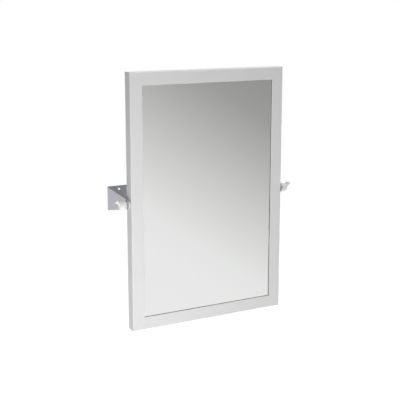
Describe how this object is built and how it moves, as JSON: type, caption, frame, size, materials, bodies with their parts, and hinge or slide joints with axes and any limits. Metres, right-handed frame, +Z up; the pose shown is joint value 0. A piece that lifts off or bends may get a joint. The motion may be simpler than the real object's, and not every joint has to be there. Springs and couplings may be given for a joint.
{
  "type": "pivot wall mirror",
  "caption": "Rectangular white-framed wall mirror that tilts between bent steel side brackets and is held by clamping lever knobs.",
  "frame": {"origin": "on the wall face, midway between the four wall screw holes of the two brackets", "axes": "+X to the viewer's right along the pivot axis, +Y into the wall, +Z up"},
  "size_m": [0.4708, 0.1304, 0.6],
  "materials": {
    "frame_coating": "satin",
    "bracket_steel": "satin",
    "mirror_glass": "polished",
    "gasket_rubber": "matte",
    "block_rubber": "matte",
    "safety_film": "satin",
    "foam": "matte",
    "panel_board": "satin",
    "zinc_steel": "satin",
    "screw_steel": "satin",
    "insert_steel": "satin",
    "washer_steel": "satin",
    "spacer_nylon": "satin",
    "knob_nylon": "satin"
  },
  "bodies": {
    "brackets": {"left_bracket": "bracket_steel", "right_bracket": "bracket_steel"},
    "mirror": {"top_rail": "frame_coating", "bottom_rail": "frame_coating", "left_stile": "frame_coating", "right_stile": "frame_coating", "corner_keys": "zinc_steel", "glazing_gasket": "gasket_rubber", "mirror_glass": "mirror_glass", "safety_film": "safety_film", "setting_blocks": "block_rubber", "foam_strips": "foam", "backing_panel": "panel_board", "panel_screws": "screw_steel", "left_stiffener": "zinc_steel", "right_stiffener": "zinc_steel", "left_insert": "insert_steel", "right_insert": "insert_steel", "left_spacer": "spacer_nylon", "right_spacer": "spacer_nylon"},
    "left_clamp": {"left_washer": "washer_steel"},
    "left_handle": {"left_knob": "knob_nylon", "left_stud": "screw_steel"},
    "right_clamp": {"right_washer": "washer_steel"},
    "right_handle": {"right_knob": "knob_nylon", "right_stud": "screw_steel"}
  },
  "joints": [
    {"name": "mirror_tilt", "type": "hinge", "parent": "brackets", "child": "mirror", "pos_m": [0, -0.115, 0.007], "axis": [1, 0, 0], "range_deg": [-15, 15]},
    {"name": "left_knob_advance", "type": "slide", "parent": "brackets", "child": "left_clamp", "axis": [-1, 0, 0], "range_m": [0, 0.000625]},
    {"name": "left_knob_turn", "type": "hinge", "parent": "left_clamp", "child": "left_handle", "pos_m": [-0.2089, -0.115, 0.007], "axis": [-1, 0, 0], "range_deg": [0, 180]},
    {"name": "right_knob_advance", "type": "slide", "parent": "brackets", "child": "right_clamp", "axis": [1, 0, 0], "range_m": [0, 0.000625]},
    {"name": "right_knob_turn", "type": "hinge", "parent": "right_clamp", "child": "right_handle", "pos_m": [0.2089, -0.115, 0.007], "axis": [1, 0, 0], "range_deg": [0, 180]}
  ],
  "couplings": [
    {"joint": "left_knob_turn", "follows": "left_knob_advance", "rad_per_m": 5026.5},
    {"joint": "right_knob_turn", "follows": "right_knob_advance", "rad_per_m": 5026.5}
  ]
}
